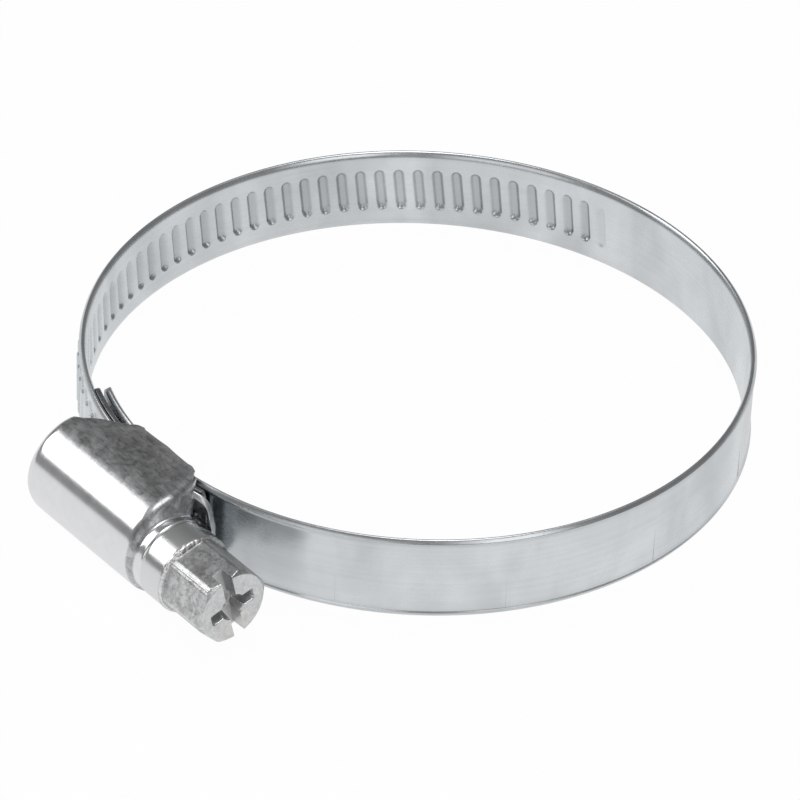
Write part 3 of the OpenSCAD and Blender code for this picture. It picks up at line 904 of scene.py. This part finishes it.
        # The recess on the end face is darkened: painted shade.
        on_face = {"edge": 0 * deep, "hollow": 0.75 * np.clip(deep, 0, 1), "forged": 0.45 + 0 * deep}
        on_side = {"edge": edge, "hollow": hollow, "forged": forged}
        marks = {key: np.concatenate([on_side[key].ravel(), on_face[key].ravel()]) for key in on_side}
        return mesh_object("screw_head", points, faces, None, marks, material, crease=55)


# ---------------------------------------------------------------------------------------------- the stage


class HOSECLAMP_OT_stage(bpy.types.Operator):
    """Sets the pale floor, the soft lights and the camera at the photograph's angle"""

    bl_idname = "hoseclamp.stage"
    bl_label = "Stage"

    def execute(self, context):
        scene = context.scene
        scene.view_settings.view_transform = "Standard"
        self.floor(scene)
        self.lights(scene)
        self.camera(scene)
        return {"FINISHED"}

    def floor(self, scene):
        """A wide plane under the clamp: white to the camera and in reflections, with the object's soft shadow."""
        low, reach = CAD_BOX[0][2] - 0.0002, 3.0
        points = [(-reach, -reach, low), (reach, -reach, low), (reach, reach, low), (-reach, reach, low)]
        f = Finish("pale_floor")
        f.set(Base_Color=tuple(scene.clamp_finishes.floor), Roughness=0.9)
        f.shader.inputs["Specular IOR Level"].default_value = 0.1
        ray = f.tree.nodes.new("ShaderNodeLightPath")
        glow = f.node("ShaderNodeEmission", {}, {"Color": (1.0, 1.0, 1.0), "Strength": 1.0})
        bright = Value(f, ray.outputs["Is Glossy Ray"]) + Value(f, ray.outputs["Is Transmission Ray"])
        seen = (Value(f, ray.outputs["Is Camera Ray"]) * 0.97 + bright * 0.72).limited()
        mixed = f.node("ShaderNodeMixShader", {}, {0: seen, 1: Value(f, f.shader.outputs[0]), 2: glow})
        f.tree.links.new(mixed.socket, f.tree.nodes["Material Output"].inputs["Surface"])
        mesh = bpy.data.meshes.new("studio_floor")
        mesh.from_pydata(points, [], [(0, 1, 2, 3)])
        mesh.materials.append(f.material)
        floor = bpy.data.objects.new("studio_floor", mesh)
        scene.collection.objects.link(floor)

    def lights(self, scene):
        """A grey studio that brightens towards the zenith, white to the camera, and four soft boxes."""
        world = bpy.data.worlds.new("studio")
        world.use_nodes = True
        tree = world.node_tree
        back = tree.nodes["Background"]
        where = tree.nodes.new("ShaderNodeTexCoord")
        split = tree.nodes.new("ShaderNodeSeparateXYZ")
        ramp = tree.nodes.new("ShaderNodeValToRGB")
        tree.links.new(where.outputs["Generated"], split.inputs[0])
        tree.links.new(split.outputs["Z"], ramp.inputs["Fac"])
        stops = ((0.0, 0.30), (0.16, 0.26), (0.5, 0.20), (0.8, 0.30), (1.0, 0.7))
        for _ in stops[2:]:
            ramp.color_ramp.elements.new(0.5)
        for element, (place, tone) in zip(ramp.color_ramp.elements, stops):
            element.position, element.color = place, (tone, tone, tone, 1)
        ray = tree.nodes.new("ShaderNodeLightPath")
        mix = tree.nodes.new("ShaderNodeMix")
        mix.data_type = "RGBA"
        tree.links.new(ray.outputs["Is Camera Ray"], mix.inputs[0])
        tree.links.new(ramp.outputs["Color"], mix.inputs[6])
        mix.inputs[7].default_value = (1, 1, 1, 1)
        tree.links.new(mix.outputs[2], back.inputs["Color"])
        scene.world = world
        for name, place, size, power in (
            ("overhead_box", (0.03, 0.02, 0.62), (0.3, 0.3), 0.9),
            ("left_box", (-0.5, -0.38, 0.42), (0.5, 0.42), 1.5),
            ("right_box", (0.55, -0.1, 0.3), (0.3, 0.3), 0.4),
            ("front_fill", (0.25, -0.6, 0.22), (0.5, 0.3), 0.4),
        ):
            lamp = bpy.data.lights.new(name, "AREA")
            lamp.shape, lamp.size, lamp.size_y, lamp.energy = "RECTANGLE", *size, power
            box = bpy.data.objects.new(name, lamp)
            box.matrix_world = facing(np.array(place, float), np.zeros(3), 0.0)
            scene.collection.objects.link(box)

    def camera(self, scene):
        """Distance, height angle, focal length and framing come from fitting both edges of the band. The focal length
        and the shifts are counted in pixels of the picture."""
        picture, focal, shift_x, shift_y = 800, 5068.4, -24.52, -26.77
        away, height, turn, roll = 0.48862, math.radians(36.442), math.radians(48.9), math.radians(2.545)
        flat = away * math.cos(height)
        place = np.array([flat * math.sin(turn), -flat * math.cos(turn), away * math.sin(height)])
        lens = bpy.data.cameras.new("camera")
        lens.sensor_width, lens.lens = 36.0, focal * 36.0 / picture
        lens.shift_x, lens.shift_y = shift_x / picture, shift_y / picture
        lens.clip_start, lens.clip_end = 0.01, 20
        camera = bpy.data.objects.new("camera", lens)
        camera.matrix_world = facing(place, np.zeros(3), roll)
        scene.collection.objects.link(camera)
        scene.camera = camera


def facing(place, target, roll):
    """A matrix at a place whose -Z looks at the target, rolled about that line."""
    forward = unit(target - place)
    side = np.cross(forward, [0.0, 0.0, 1.0])
    side = unit(side) if np.linalg.norm(side) > 1e-6 else np.array([1.0, 0, 0])
    up = np.cross(side, forward)
    right = math.cos(roll) * side + math.sin(roll) * up
    above = -math.sin(roll) * side + math.cos(roll) * up
    columns = np.stack([right, above, -forward, place], -1)
    return Matrix([*columns.tolist(), [0, 0, 0, 1]])


# ---------------------------------------------------------------------------------------------- the sidebar


class HOSECLAMP_PT_panel(bpy.types.Panel):
    """Sizes, finishes and builders of the clamp"""

    bl_idname = "HOSECLAMP_PT_panel"
    bl_label = "Hose Clamp"
    bl_space_type = "VIEW_3D"
    bl_region_type = "UI"
    bl_category = "Hose Clamp"

    def draw(self, context):
        for title, group in GROUPS.items():
            box = self.layout.box()
            box.label(text=title)
            sizes = getattr(context.scene, group[0])
            for key in sizes.bl_rna.properties.keys():
                if key not in ("rna_type", "name"):
                    box.prop(sizes, key)
        for operator in OPERATORS:
            self.layout.operator(operator.bl_idname)


GROUPS = {
    "Band": ("clamp_band", BandSizes),
    "Housing": ("clamp_housing", HousingSizes),
    "Screw": ("clamp_screw", ScrewSizes),
    "Finishes": ("clamp_finishes", Finishes),
}
OPERATORS = (
    HOSECLAMP_OT_band,
    HOSECLAMP_OT_saddle,
    HOSECLAMP_OT_housing,
    HOSECLAMP_OT_screw,
    HOSECLAMP_OT_stage,
)
CLASSES = (*(group[1] for group in GROUPS.values()), *OPERATORS, HOSECLAMP_PT_panel)


def register():
    for kind in CLASSES:
        bpy.utils.register_class(kind)
    for key, group in GROUPS.values():
        setattr(bpy.types.Scene, key, PointerProperty(type=group))


def unregister():
    for key, _ in GROUPS.values():
        delattr(bpy.types.Scene, key)
    for kind in reversed(CLASSES):
        bpy.utils.unregister_class(kind)


def main():
    register()
    bpy.ops.hoseclamp.band()
    bpy.ops.hoseclamp.saddle()
    bpy.ops.hoseclamp.housing()
    bpy.ops.hoseclamp.screw()
    bpy.ops.hoseclamp.stage()


if __name__ == "__main__":
    main()
